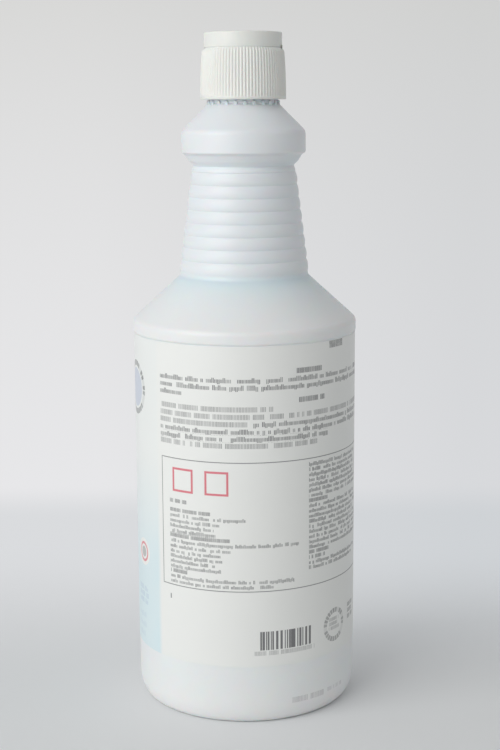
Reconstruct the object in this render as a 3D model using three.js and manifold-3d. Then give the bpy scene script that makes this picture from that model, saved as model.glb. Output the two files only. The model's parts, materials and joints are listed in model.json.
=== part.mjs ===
// Toilet cleaner bottle: a blown one-quart bottle with a ribbed grip neck, its fill,
// a wrap label, a sealing ring and a screw cap with a flip lid.
// Millimetres, +Z up, the origin at the centre of the foot. -Y is the label's back panel,
// the lid opens from -X over its hinge at +X.
import * as THREE from "three";
import { mergeVertices } from "three/addons/utils/BufferGeometryUtils.js";
import Module from "manifold-3d";

const wasm = await Module();
wasm.setup();

// Facets around the bottle, the cap's bores, and small round details
const BODY_SEGMENTS = 48;
const BORE_SEGMENTS = 48;
const DETAIL_SEGMENTS = 24;

// Body, from the floor up
const bodyRadius = 42.85;
const heelHeight = 9;
const heelInset = 4.0;
const standingRingWidth = 2.6;
const pushUpHeight = 3.2;
const pushUpRadius = 30;
const wall = 1.2;
const beadRise = 0.45;
const beadHeight = 4.9;

// Shoulder, grip neck and bulb
const gripBottomRadius = 24.5;
const gripBottom = 168.6;
const gripTopRadius = 19.7;
const gripTop = 206.6;
const gripRings = 8;
const gripRingRise = 0.5;
const creaseDepth = 0.55;
const bulbRadius = 23.75;
const bulbBottom = 208.9;
const bulbStep = 4.4;
const bulbSideHeight = 7.3;
const shoulderCrown = 2.2;

// Screw neck, a standard 28 mm finish with six threads to the inch
const threadRadius = 13.7;
const threadRootRadius = 12.6;
const threadPitch = 25.4 / 6;
const threadTurns = 1.4;
const threadWidth = 2.0;
const threadCrest = 0.8;
const neckBoreRadius = 10.85;
const neckHeight = 16;
const collarRadius = 13.3;
const collarFlare = 0.9;
const collarHeight = 2.5;
const lugCount = 24;
const lugHeight = 2.5;
const lugDrop = 0.7;
const lugRise = 0.7;
const lugWidth = 1.7;
const lugPhase = 3;

// Fill and label
const fillClearance = 0.3;
const fillDepth = 190;
const labelThickness = 0.12;
const labelGap = 0.03;
const labelBottom = 23.0;
const labelHeight = 122.3;
const labelTopGap = 0.2;
const labelSeamAngle = 127.5;
const labelSeamFacets = 1;

// Sealing ring
const sealThickness = 1.0;
const sealWidth = 2.4;

// Screw cap
const capRadius = 16.3;
const capTopRadius = 15.55;
const capHeight = 19.1;
const capMouthRadius = 14.7;
const capMouthDepth = 1.6;
const capRibs = 82;
const capRibDepth = 0.32;
const capRimHeight = 1.2;
const capCrownHeight = 1.7;
const capCrownInset = 0.75;
const deckThickness = 1.8;
const threadClearance = 0.3;
const spoutRadius = 4.4;
const spoutTopRadius = 3.5;
const spoutHeight = 4.1;
const orificeRadius = 2.0;
const scoopWidth = 10;
const scoopDepth = 0.6;
const scoopHeight = 1.5;
const hingeWidth = 9;
const hingeReach = 0.4;

// Flip lid
const lidRadius = 14.8;
const lidHeight = 5.6;
const lidWall = 1.2;
const lidTopThickness = 1.3;
const lidEdgeRadius = 0.6;
const lidSeam = 0.15;
const plugClearance = 0.3;
const plugTipRadius = 1.2;
const plugLength = 3;

// Heights that follow
const labelTop = labelBottom + labelHeight;
const bodyTop = labelTop + labelTopGap;
const bulbTop = bulbBottom + bulbStep + bulbSideHeight;
const coneFootRadius = bulbRadius - shoulderCrown;
const coneFoot = bulbTop + shoulderCrown * 1.6;
const collarBottom = coneFoot + (coneFootRadius - collarRadius - collarFlare);
const collarTop = collarBottom + collarHeight;
const mouthTop = collarTop + neckHeight;
const threadTop = mouthTop - 1.6;
const deckUnderside = mouthTop + sealThickness;
const deckTop = deckUnderside + deckThickness;
const capBottom = deckTop - capHeight;
const lidBottom = deckTop + lidSeam;
const lidTop = lidBottom + lidHeight;
const hingeX = lidRadius + hingeReach;
const hingeZ = deckTop + lidSeam / 2;

// Turning, sweeping and cutting

const DEG = Math.PI / 180;

function turned(points, segments = BODY_SEGMENTS, start = 0, length = Math.PI * 2) {
  const profile = points.map(([r, z]) => new THREE.Vector2(r, z));
  return new THREE.LatheGeometry(profile, segments, start, length).rotateX(Math.PI / 2);
}

function arc(cr, cz, radius, from, to, steps) {
  const points = [];
  for (let i = 0; i <= steps; i += 1) {
    const a = (from + ((to - from) * i) / steps) * DEG;
    points.push([cr + radius * Math.cos(a), cz + radius * Math.sin(a)]);
  }
  return points;
}

function box(x0, x1, y0, y1, z0, z1) {
  const shape = new THREE.BoxGeometry(x1 - x0, y1 - y0, z1 - z0);
  return shape.translate((x0 + x1) / 2, (y0 + y1) / 2, (z0 + z1) / 2);
}

// Closed solid through a row of rings with equal point counts, capped at both ends
function lofted(rings) {
  const count = rings[0].length;
  const positions = rings.flat(2);
  const index = [];
  for (let i = 0; i + 1 < rings.length; i += 1) {
    for (let j = 0; j < count; j += 1) {
      const a = i * count + j;
      const b = i * count + ((j + 1) % count);
      index.push(a, b, a + count, b, b + count, a + count);
    }
  }
  const last = (rings.length - 1) * count;
  for (let j = 1; j + 1 < count; j += 1) {
    index.push(0, j + 1, j, last, last + j, last + j + 1);
  }
  const geometry = new THREE.BufferGeometry();
  geometry.setAttribute("position", new THREE.Float32BufferAttribute(positions, 3));
  geometry.setIndex(index);
  return geometry;
}

function solid(geometry) {
  const bare = geometry.clone();
  bare.deleteAttribute("normal");
  bare.deleteAttribute("uv");
  const merged = mergeVertices(bare, 1e-4);
  const mesh = new wasm.Mesh({
    numProp: 3,
    vertProperties: new Float32Array(merged.attributes.position.array),
    triVerts: new Uint32Array(merged.index.array),
  });
  const body = new wasm.Manifold(mesh);
  return body.volume() < 0 ? new wasm.Manifold(flipped(mesh)) : body;
}

function flipped(mesh) {
  const triangles = Uint32Array.from(mesh.triVerts);
  for (let i = 0; i < triangles.length; i += 3) {
    [triangles[i], triangles[i + 1]] = [triangles[i + 1], triangles[i]];
  }
  return new wasm.Mesh({ numProp: 3, vertProperties: mesh.vertProperties, triVerts: triangles });
}

function geometryOf(body) {
  const mesh = body.getMesh();
  const geometry = new THREE.BufferGeometry();
  geometry.setAttribute("position", new THREE.BufferAttribute(mesh.vertProperties, 3));
  geometry.setIndex(new THREE.BufferAttribute(mesh.triVerts, 1));
  geometry.computeVertexNormals();
  return geometry;
}

// Helical ridge of trapezoid section; side +1 stands outward, -1 inward
function threadRidge(rootR, crestR, top, turns) {
  const steps = Math.round(turns * DETAIL_SEGMENTS * 2);
  const side = Math.sign(crestR - rootR);
  const rings = [];
  for (let i = 0; i <= steps; i += 1) {
    const a = (i / steps) * turns * 2 * Math.PI;
    const ends = Math.min(i, steps - i) / 4;
    const size = Math.min(1, 0.15 + 0.85 * ends);
    const crest = rootR + (crestR - rootR) * size;
    const z = top - threadWidth / 2 - threadPitch * turns + (a / (2 * Math.PI)) * threadPitch;
    const section = [
      [rootR - side * 0.4, -threadWidth / 2],
      [crest, -threadCrest / 2],
      [crest, threadCrest / 2],
      [rootR - side * 0.4, threadWidth / 2],
    ];
    rings.push(section.map(([r, dz]) => [r * Math.cos(a), r * Math.sin(a), z + dz * size]));
  }
  return lofted(rings);
}

// Bottle

function heel() {
  return arc(0, 0, 1, 270, 360, 5).map(([c, s]) => [
    bodyRadius - heelInset + heelInset * c,
    heelHeight * (1 + s),
  ]);
}

function shoulder() {
  const bead = bodyRadius + beadRise;
  const foot = bodyTop + beadHeight;
  const rise = gripBottom - foot;
  const run = bead - gripBottomRadius;
  const round = (share, lift) => [bead - run * share, foot + rise * lift];
  return [
    [bodyRadius, bodyTop],
    [bead, bodyTop + beadHeight * 0.14],
    [bead - 0.1, bodyTop + beadHeight * 0.55],
    [bead - 0.85, foot],
    round(0.11, 0.09),
    round(0.78, 0.72),
    round(0.87, 0.83),
    round(0.95, 0.93),
  ];
}

function gripRadius(z) {
  const share = (z - gripBottom) / (gripTop - gripBottom);
  return gripBottomRadius + (gripTopRadius - gripBottomRadius) * share;
}

function grip() {
  const points = [];
  const pitch = (gripTop - gripBottom) / gripRings;
  for (let ring = 0; ring < gripRings; ring += 1) {
    for (const [share, lift] of [[0, 0], [0.2, 0.64], [0.5, 1], [0.8, 0.64]]) {
      const z = gripBottom + (ring + share) * pitch;
      points.push([gripRadius(z) + lift * gripRingRise, z]);
    }
  }
  points.push([gripTopRadius + 0.2, gripTop]);
  return points;
}

function bulb() {
  const shoulderRadius = bulbRadius - shoulderCrown * 0.3;
  return [
    [gripTopRadius - creaseDepth, bulbBottom],
    [gripTopRadius + 1.3, bulbBottom + bulbStep * 0.42],
    [bulbRadius - 1.5, bulbBottom + bulbStep * 0.86],
    [bulbRadius - 1.1, bulbBottom + bulbStep * 1.03],
    [bulbRadius - 0.15, bulbBottom + bulbStep * 1.12],
    [bulbRadius, bulbBottom + bulbStep * 1.3],
    [bulbRadius, bulbTop],
    [shoulderRadius, bulbTop + shoulderCrown * 0.7],
    [coneFootRadius, coneFoot],
    [collarRadius + collarFlare, collarBottom],
    [collarRadius, collarBottom + collarFlare * 0.8],
  ];
}

function screwNeck() {
  return [
    [collarRadius, collarTop - 0.4],
    [collarRadius - 0.4, collarTop],
    [threadRootRadius, collarTop],
    [threadRootRadius, mouthTop - 0.5],
    [threadRootRadius - 0.5, mouthTop],
    [neckBoreRadius, mouthTop],
  ];
}

function insideProfile(gap) {
  const w = wall + gap;
  const diagonal = w * 1.41;
  const foot = pushUpHeight + w;
  return [
    [neckBoreRadius - gap, mouthTop],
    [neckBoreRadius - gap, collarBottom + 0.5],
    [bulbRadius - diagonal - 0.6, bulbTop + shoulderCrown * 0.6],
    [bulbRadius - w, bulbTop - 0.6],
    [bulbRadius - w, bulbBottom + bulbStep * 1.6],
    [gripTopRadius - creaseDepth - w, bulbBottom + 1.2],
    [gripTopRadius - creaseDepth - w, bulbBottom - 1.6],
    [gripTopRadius - w, gripTop - 2],
    [gripBottomRadius - w, gripBottom + 0.4],
    [gripBottomRadius + 1.4 - w, gripBottom - 2.6],
    [bodyRadius - 0.6 - w, bodyTop + beadHeight - 1.4],
    [bodyRadius - w, bodyTop + beadHeight * 0.2],
    [bodyRadius - w, heelHeight + 0.5],
    ...heel().reverse().slice(1, 5).map(([r, z]) => [r - w * 0.9, Math.max(z + w * 0.8, foot)]),
    [pushUpRadius, foot],
    [0, foot],
  ];
}

function bottle() {
  const footRadius = bodyRadius - heelInset;
  const ringInner = footRadius - standingRingWidth;
  const body = turned([
    [0, pushUpHeight],
    [pushUpRadius, pushUpHeight],
    [ringInner, 0],
    ...heel(),
    ...shoulder(),
    ...grip(),
    ...bulb(),
    ...screwNeck(),
    ...insideProfile(0).slice(1),
  ]);
  let result = solid(body);
  const thread = threadRidge(threadRootRadius, threadRadius, threadTop, threadTurns);
  result = result.add(solid(thread));
  for (let i = 0; i < lugCount; i += 1) {
    const lug = box(collarRadius - 1, collarRadius + lugRise, -lugWidth / 2, lugWidth / 2,
      collarBottom - lugDrop, collarBottom - lugDrop + lugHeight);
    lug.rotateZ((i / lugCount) * 2 * Math.PI + (lugPhase - 90) * DEG);
    result = result.add(solid(lug));
  }
  return result;
}

// Fill: the liquid up to its level in the grip neck
function cleanerFill() {
  const w = wall + fillClearance;
  const level = pushUpHeight + fillDepth;
  const inside = insideProfile(fillClearance);
  const below = inside.filter(([, z]) => z < level);
  return solid(turned([...below.reverse(), [gripRadius(level) - w, level], [0, level]]));
}

// Label: a thin band around the body with its open seam on the far side
function wrapLabel() {
  const inner = bodyRadius + labelGap;
  const outer = inner + labelThickness;
  const facet = 360 / BODY_SEGMENTS;
  const seam = Math.round(labelSeamAngle / facet) * facet;
  const rings = [];
  for (let i = 0; i <= BODY_SEGMENTS - labelSeamFacets; i += 1) {
    const a = (seam + (labelSeamFacets + i) * facet - 90) * DEG;
    const section = [
      [inner, labelBottom], [outer, labelBottom], [outer, labelTop], [inner, labelTop],
    ];
    rings.push(section.map(([r, z]) => [r * Math.cos(a), r * Math.sin(a), z]));
  }
  return solid(lofted(rings));
}

function sealRing() {
  const inner = neckBoreRadius + 0.1;
  const ring = turned([
    [inner, mouthTop],
    [inner + sealWidth, mouthTop],
    [inner + sealWidth, deckUnderside],
    [inner, deckUnderside],
    [inner, mouthTop],
  ]);
  return solid(ring);
}

// Cap

function skirtRadius(z) {
  const share = (z - capBottom) / capHeight;
  return capRadius + (capTopRadius - capRadius) * share ** 2.2;
}

function skirtRing(z, ribDepth, inset) {
  const points = [];
  for (let i = 0; i < capRibs * 2; i += 1) {
    const a = (i / (capRibs * 2)) * 2 * Math.PI;
    const r = skirtRadius(z) - inset - (i % 2 === 0 ? 0 : ribDepth);
    points.push([r * Math.cos(a), r * Math.sin(a), z]);
  }
  return points;
}

function skirtShell() {
  const crown = deckTop - capCrownHeight;
  return lofted([
    skirtRing(capBottom, 0, 0.1),
    skirtRing(capBottom + capRimHeight * 0.3, 0, 0),
    skirtRing(capBottom + capRimHeight, 0, 0),
    skirtRing(capBottom + capRimHeight + 0.3, capRibDepth, 0),
    skirtRing((capBottom + crown) / 2, capRibDepth, 0),
    skirtRing(crown, capRibDepth, 0),
    skirtRing(crown + capCrownHeight * 0.6, capRibDepth * 0.5, capCrownInset * 0.4),
    skirtRing(deckTop, 0, capCrownInset),
  ]);
}

function capBody() {
  const boreRadius = threadRadius + threadClearance;
  let result = solid(skirtShell());
  const bore = turned([
    [0, capBottom - 1],
    [capMouthRadius, capBottom - 1],
    [capMouthRadius, capBottom],
    [boreRadius, capBottom + capMouthDepth],
    [boreRadius, deckUnderside],
    [0, deckUnderside],
  ], BORE_SEGMENTS);
  result = result.subtract(solid(bore));
  const spout = turned([
    [0, deckUnderside + 0.4],
    [spoutRadius, deckUnderside + 0.4],
    [spoutRadius, deckTop],
    [spoutTopRadius, deckTop + spoutHeight - 0.4],
    [spoutTopRadius - 0.4, deckTop + spoutHeight],
    [0, deckTop + spoutHeight],
  ], DETAIL_SEGMENTS);
  result = result.add(solid(spout));
  const orifice = turned([
    [0, deckUnderside - 1],
    [orificeRadius, deckUnderside - 1],
    [orificeRadius, deckTop + spoutHeight + 1],
    [0, deckTop + spoutHeight + 1],
  ], DETAIL_SEGMENTS);
  result = result.subtract(solid(orifice));
  const ridgeCrest = threadRootRadius + threadClearance + 0.05;
  const ridge = threadRidge(boreRadius, ridgeCrest, threadTop + threadPitch / 2, threadTurns);
  result = result.add(solid(ridge));
  const strap = box(lidRadius - 1.4, hingeX, -hingeWidth / 2, hingeWidth / 2,
    deckTop - 0.6, deckTop);
  result = result.add(solid(strap));
  const scoop = box(-capRadius, -lidRadius + scoopDepth, -scoopWidth / 2, scoopWidth / 2,
    deckTop - scoopHeight, deckTop + 1);
  return result.subtract(solid(scoop));
}

function flipLid() {
  const underside = lidTop - lidTopThickness;
  const plugRoot = orificeRadius - plugClearance;
  const lid = turned([
    [0, underside - plugLength],
    [plugTipRadius - 0.3, underside - plugLength],
    [plugTipRadius, underside - plugLength + 0.4],
    [plugRoot, underside],
    [lidRadius - lidWall, underside],
    [lidRadius - lidWall, lidBottom],
    [lidRadius, lidBottom],
    [lidRadius, lidTop - lidEdgeRadius],
    [lidRadius - lidEdgeRadius * 0.3, lidTop - lidEdgeRadius * 0.3],
    [lidRadius - lidEdgeRadius, lidTop],
    [0, lidTop],
  ], BORE_SEGMENTS);
  return solid(lid);
}

// Materials and assembly

function finish(color, roughness) {
  return new THREE.MeshStandardMaterial({ color, roughness, metalness: 0 });
}

const group = new THREE.Group();
group.name = "toilet_cleaner_bottle";

function addPiece(name, body, material) {
  const mesh = new THREE.Mesh(geometryOf(body), material);
  mesh.name = name;
  group.add(mesh);
}

addPiece("bottle", bottle(), finish(0xe4e9ea, 0.38));
addPiece("cleaner_fill", cleanerFill(), finish(0xd9e8ee, 0.1));
addPiece("wrap_label", wrapLabel(), finish(0xecedea, 0.45));
addPiece("seal_ring", sealRing(), finish(0xf2f2ee, 0.7));
addPiece("cap_body", capBody(), finish(0xe9eae4, 0.4));
addPiece("flip_lid", flipLid(), finish(0xe9eae4, 0.4));

export default group;
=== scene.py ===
"""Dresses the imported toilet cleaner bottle: blown shell, printed wrap label, ribbed flip cap, stage."""

import json
import math

import bmesh
import bpy
from bpy.props import FloatProperty, FloatVectorProperty, IntProperty, PointerProperty
from mathutils import Matrix, Vector


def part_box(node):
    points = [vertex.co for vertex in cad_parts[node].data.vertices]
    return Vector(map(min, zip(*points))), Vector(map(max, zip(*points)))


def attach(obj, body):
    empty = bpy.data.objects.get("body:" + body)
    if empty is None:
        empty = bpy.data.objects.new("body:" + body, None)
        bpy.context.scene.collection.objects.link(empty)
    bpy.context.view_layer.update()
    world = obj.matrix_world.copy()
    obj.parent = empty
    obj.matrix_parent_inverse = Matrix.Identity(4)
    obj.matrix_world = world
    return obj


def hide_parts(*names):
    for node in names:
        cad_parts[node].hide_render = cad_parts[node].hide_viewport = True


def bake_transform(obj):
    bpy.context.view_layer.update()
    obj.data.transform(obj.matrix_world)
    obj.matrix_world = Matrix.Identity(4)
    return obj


bl_info = {
    "name": "Toilet cleaner bottle",
    "version": (1, 0, 0),
    "blender": (4, 5, 0),
    "location": "View3D > Sidebar > Bottle",
    "description": "Builds the looks of a quart cleaner bottle with a flip cap over its CAD frame",
    "category": "Object",
}

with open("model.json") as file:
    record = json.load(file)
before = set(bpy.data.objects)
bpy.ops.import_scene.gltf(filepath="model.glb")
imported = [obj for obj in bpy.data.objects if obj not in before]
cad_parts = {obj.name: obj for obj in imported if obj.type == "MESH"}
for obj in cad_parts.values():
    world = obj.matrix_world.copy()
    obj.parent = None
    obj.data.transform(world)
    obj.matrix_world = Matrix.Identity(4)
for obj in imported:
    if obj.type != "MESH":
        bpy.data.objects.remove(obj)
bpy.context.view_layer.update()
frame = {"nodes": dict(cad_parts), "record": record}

MM = 0.001
BOTTLE_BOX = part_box("bottle")
LABEL_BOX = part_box("wrap_label")
CAP_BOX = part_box("cap_body")
LID_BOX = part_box("flip_lid")
LID_JOINT = next(j for j in frame["record"]["behaviour"]["joints"] if j["name"] == "lid_flip")
HINGE_Z = LID_JOINT["pos_m"][2]
FULL_TURN = 2 * math.pi

# Each moulding's body, material and slot

SHELL = ("bottle", "blown_polyethylene", "bottle_plastic")
CAP = ("cap", "moulded_cap_plastic", "cap_plastic")
LID = ("lid", "moulded_cap_plastic", "cap_plastic")

# The threads: turns, steps of the spin, the middle's depth below the mouth, and half the
# ridge's height at its foot and at its crest

THREAD_TURNS = 1.4
THREAD_STEPS = 68
THREAD_DROP = 2.6 * MM
THREAD_FOOT = 1.0 * MM
THREAD_CREST = 0.4 * MM

# The label's seam, in degrees round from the photo's side, and its open gap

LABEL_SEAM = 127.5
LABEL_GAP = 7.5

# The photo's camera: place in metres, turns in degrees and lens in millimetres

CAMERA_PLACE = (0.0, -0.5747, 0.2319)
CAMERA_TURNS = (0.2007, 10.32, 0.3097)
CAMERA_LENS = 71.41

# Metres behind the bottle where the far floor's glow of painted light takes over from the lit floor and
# its shadow, and where the backdrop does

FAR_FLOOR = (-0.03, 0.19)
HORIZON = (0.245, 0.325)

# The room's plain light on the part, and its shade to the camera

ROOM_LIGHT = (0.43, 0.43, 0.43)
ROOM_SHADE = (0.66, 0.67, 0.68)

# Lamps: place, aim, size in metres, power in watts and tone

LAMPS = {
    "window": ((-1.5, -1.35, 1.05), (0, 0, 0.12), 1.95, 32.5, (1.0, 1.0, 0.99)),
    "fill": ((1.8, -0.4, 0.9), (0, 0, 0.12), 2.0, 0.8, (1.0, 0.99, 0.97)),
}


# Sizes and colours a user can change


def length(name, default, description):
    """A length property; its default is given in millimetres."""
    return FloatProperty(name=name, description=description, default=default * MM, unit="LENGTH",
                         subtype="DISTANCE", precision=5)


def whole(name, default, low, high, description):
    """A whole-number property."""
    return IntProperty(name=name, description=description, default=default, min=low, max=high)


def colour(name, default, description):
    """A colour property, linear RGB."""
    return FloatVectorProperty(name=name, description=description, default=default, size=3,
                               subtype="COLOR", min=0.0, max=1.0)


class BottleSizes(bpy.types.PropertyGroup):
    """Sizes of the blown bottle that its box doesn't give."""

    body_radius: length("Body radius", 42.85, "Radius of the panel under the label")
    heel_height: length("Heel height", 9.0, "Height over which the heel curves in")
    heel_inset: length("Heel inset", 4.0, "How far the heel curves in at the floor")
    ring_width: length("Standing ring width", 2.6, "Width of the flat ring it stands on")
    push_up: length("Push-up", 3.2, "Rise of the base inside the standing ring")
    wall: length("Wall", 1.2, "Wall of the blown shell")
    bead_bottom: length("Bead bottom", 145.5, "Where the label panel meets the bead")
    bead_top: length("Bead top", 150.3, "Where the bead turns into the cone")
    grip_bottom: length("Grip bottom", 168.6, "Lower end of the ribbed grip neck")
    grip_top: length("Grip top", 206.6, "Upper end of the ribbed grip neck")
    grip_bottom_radius: length("Grip bottom radius", 24.5, "Radius in its lowest groove")
    grip_top_radius: length("Grip top radius", 19.7, "Radius in its highest groove")
    grip_rings: whole("Grip rings", 8, 3, 20, "Rounded rings on the grip neck")
    grip_rise: length("Grip ring rise", 0.5, "How far each ring stands over its grooves")
    crease: length("Crease", 208.9, "Height of the crease under the bulb")
    crease_depth: length("Crease depth", 0.55, "How far the crease cuts in under the grip")
    bulb_radius: length("Bulb radius", 23.75, "Radius of the bulb under the cap")
    bulb_bottom: length("Bulb bottom", 213.6, "Lower edge of the bulb's side")
    bulb_top: length("Bulb top", 220.6, "Upper edge of the bulb's side")
    collar_radius: length("Collar radius", 13.3, "Radius of the collar below the thread")
    collar_bottom: length("Collar bottom", 231.47, "Where the shoulder meets the collar")
    collar_top: length("Collar top", 233.97, "Upper edge of the collar")
    thread_radius: length("Thread radius", 13.7, "Crest radius of the neck's thread")
    root_radius: length("Thread root radius", 12.6, "Outside radius of the neck")
    thread_pitch: length("Thread pitch", 25.4 / 6, "Rise of one turn of thread")
    bore_radius: length("Mouth radius", 10.85, "Radius of the mouth's bore")
    lug_count: whole("Lugs", 24, 6, 60, "Small lugs round the collar")
    lug_height: length("Lug height", 2.5, "Height of each lug")
    lug_width: length("Lug width", 1.9, "Width of each lug at its foot")


class CapSizes(bpy.types.PropertyGroup):
    """Sizes of the screw cap and its lid that their boxes don't give."""

    deck_top: length("Deck top", 252.77, "Upper face of the cap's deck")
    deck_thickness: length("Deck thickness", 1.8, "Thickness of the deck")
    top_radius: length("Skirt top radius", 15.55, "Radius of the skirt under the seam")
    ribs: whole("Ribs", 82, 20, 160, "Fine grip ribs round the skirt")
    rib_depth: length("Rib depth", 0.34, "Depth of the grooves between the ribs")
    rim_height: length("Rim height", 1.2, "Plain rim below the ribs")
    bore_radius: length("Cap bore", 14.0, "Bore around the neck's thread")
    mouth_radius: length("Cap mouth", 14.7, "Radius of the bore's flared foot")
    mouth_depth: length("Cap mouth depth", 1.6, "Height of the flare at the foot")
    spout_radius: length("Spout radius", 4.4, "Foot radius of the pouring spout")
    spout_top_radius: length("Spout top radius", 3.5, "Top radius of the pouring spout")
    spout_height: length("Spout height", 4.1, "Height of the spout above the deck")
    orifice_radius: length("Orifice radius", 2.0, "Radius of the pouring hole")
    scoop_depth: length("Scoop depth", 0.6, "Depth of the thumb scoop under the lid")
    scoop_height: length("Scoop height", 0.6, "Height of the thumb scoop")
    lid_radius: length("Lid radius", 14.8, "Outer radius of the lid")
    lid_wall: length("Lid wall", 1.2, "Wall of the lid")
    lid_edge: length("Lid edge radius", 0.6, "Rounding of the lid's top edge")
    hinge_width: length("Hinge width", 9.0, "Width of the living hinge")
    film: length("Hinge film", 0.3, "Thickness of the hinge film")


class FinishColours(bpy.types.PropertyGroup):
    """Colours of the finishes."""

    bottle: colour("Bottle", (0.845, 0.845, 0.842), "White of the blown shell")
    # Bluish tinge: partly the cleaner showing through, partly a painted sky reflection on the shell's
    # upward-facing parts
    cleaner_and_sky_tinge: colour("Tinge", (0.77, 0.80, 0.828), "Bluish white where the cleaner shows through")
    cap: colour("Cap", (0.81, 0.815, 0.78), "Warm white of the cap and lid")
    label: colour("Label", (0.83, 0.84, 0.82), "White of the label film")
    tint: colour("Label tint", (0.66, 0.79, 0.83), "Pale blue of the label's front panel")
    ink: colour("Ink", (0.07, 0.07, 0.08), "Dark grey of the print")
    red: colour("Red ink", (0.66, 0.05, 0.10), "Red of the outlined squares")
    badge: colour("Badge ink", (0.16, 0.24, 0.50), "Blue of the front badge")
    liquid: colour("Liquid", (0.62, 0.78, 0.84), "Pale blue of the cleaner")
    floor: colour("Floor", (0.81, 0.825, 0.835), "Pale grey of the floor")
    # The backdrop glows with painted light: lighter at its foot on the window's side, darker on the far
    # side and towards the top
    wall: colour("Backdrop", (0.80, 0.80, 0.815), "Backdrop at its foot, on the window's side")
    wall_far_painted_shade: colour("Backdrop far", (0.685, 0.695, 0.715), "Backdrop at its foot, far side")
    wall_top_painted_shade: colour("Backdrop top", (0.688, 0.688, 0.68), "Backdrop at the top, window's side")
    wall_top_far_painted_shade: colour("Backdrop top far", (0.632, 0.636, 0.63), "Backdrop at the top, far side")
    # The far floor glows with painted light: lighter on the window's side, darker on the far side
    far_floor_glow: colour("Far floor", (0.70, 0.712, 0.73), "Far floor on the window's side")
    far_floor_painted_shade: colour("Far floor far", (0.625, 0.648, 0.672), "Far floor on the far side")


class BottleSettings(bpy.types.PropertyGroup):
    """Everything the panel shows."""

    bottle: PointerProperty(type=BottleSizes)
    cap: PointerProperty(type=CapSizes)
    colours: PointerProperty(type=FinishColours)


# Mesh helpers


def fillet(corners, steps=6):
    """Rounds the corners of an open outline given as (r, z, radius)."""
    points = []
    for i, (r, z, radius) in enumerate(corners):
        here = Vector((r, z))
        if radius <= 0.0 or i in (0, len(corners) - 1):
            points.append(here)
            continue
        before = Vector(corners[i - 1][:2]) - here
        after = Vector(corners[i + 1][:2]) - here
        half = before.angle(after) / 2
        cut = min(radius / math.tan(half), before.length * 0.48, after.length * 0.48)
        start = here + before.normalized() * cut
        end = here + after.normalized() * cut
        for k in range(steps + 1):
            t = k / steps
            points.append(start * (1 - t) ** 2 + here * 2 * t * (1 - t) + end * t ** 2)
    return points


def add_outline(bm, points, closed=False):
    """Adds an outline in the XZ plane and returns its verts and edges."""
    verts = [bm.verts.new((p[0], 0.0, p[1])) for p in points]
    pairs = list(zip(verts, verts[1:]))
    if closed:
        pairs.append((verts[-1], verts[0]))
    return verts + [bm.edges.new(pair) for pair in pairs]


def spin_outline(bm, points, steps, closed=False, turn=FULL_TURN, rise=0.0):
    """Spins an outline round the bottle's axis; a rise per step makes it a helix."""
    outline = add_outline(bm, points, closed)
    bmesh.ops.spin(bm, geom=outline, cent=(0, 0, 0), axis=(0, 0, 1), dvec=(0, 0, rise),
                   angle=turn, steps=steps, use_merge=turn == FULL_TURN and rise == 0.0)


def clean(bm):
    """Merges doubles and turns every face outwards."""
    bmesh.ops.remove_doubles(bm, verts=bm.verts, dist=1e-6)
    bmesh.ops.recalc_face_normals(bm, faces=bm.faces)


def close_ends(bm):
    """Closes the two open ends of a part-turn spin."""
    bmesh.ops.holes_fill(bm, edges=[e for e in bm.edges if e.is_boundary], sides=8)


def finish_piece(bm, name, body, material, slot, replaced=(), smooth_angle=35):
    """Makes the mesh an object that rides on its body."""
    mesh = bpy.data.meshes.new(name)
    bm.to_mesh(mesh)
    bm.free()
    for polygon in mesh.polygons:
        polygon.use_smooth = True
    mesh.set_sharp_from_angle(angle=math.radians(smooth_angle))
    piece = bpy.data.objects.new(name, mesh)
    bpy.context.collection.objects.link(piece)
    mesh.materials.append(bpy.data.materials[material])
    if body:
        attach(piece, body)
    if replaced:
        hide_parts(*replaced)
    return piece


def thread_ridge(name, moulding, foot, tip, start, pitch):
    """A thread: one ridge on a helix between two radii, from its height at the start."""
    bm = bmesh.new()
    outline = [(foot, start - THREAD_FOOT), (tip, start - THREAD_CREST),
               (tip, start + THREAD_CREST), (foot, start + THREAD_FOOT)]
    spin_outline(bm, outline, THREAD_STEPS, closed=True, turn=THREAD_TURNS * FULL_TURN,
                 rise=THREAD_TURNS * pitch / THREAD_STEPS)
    close_ends(bm)
    clean(bm)
    finish_piece(bm, name, *moulding)


# Material helpers

NO_VECTOR = (0.0, 0.0, 0.0)


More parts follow.
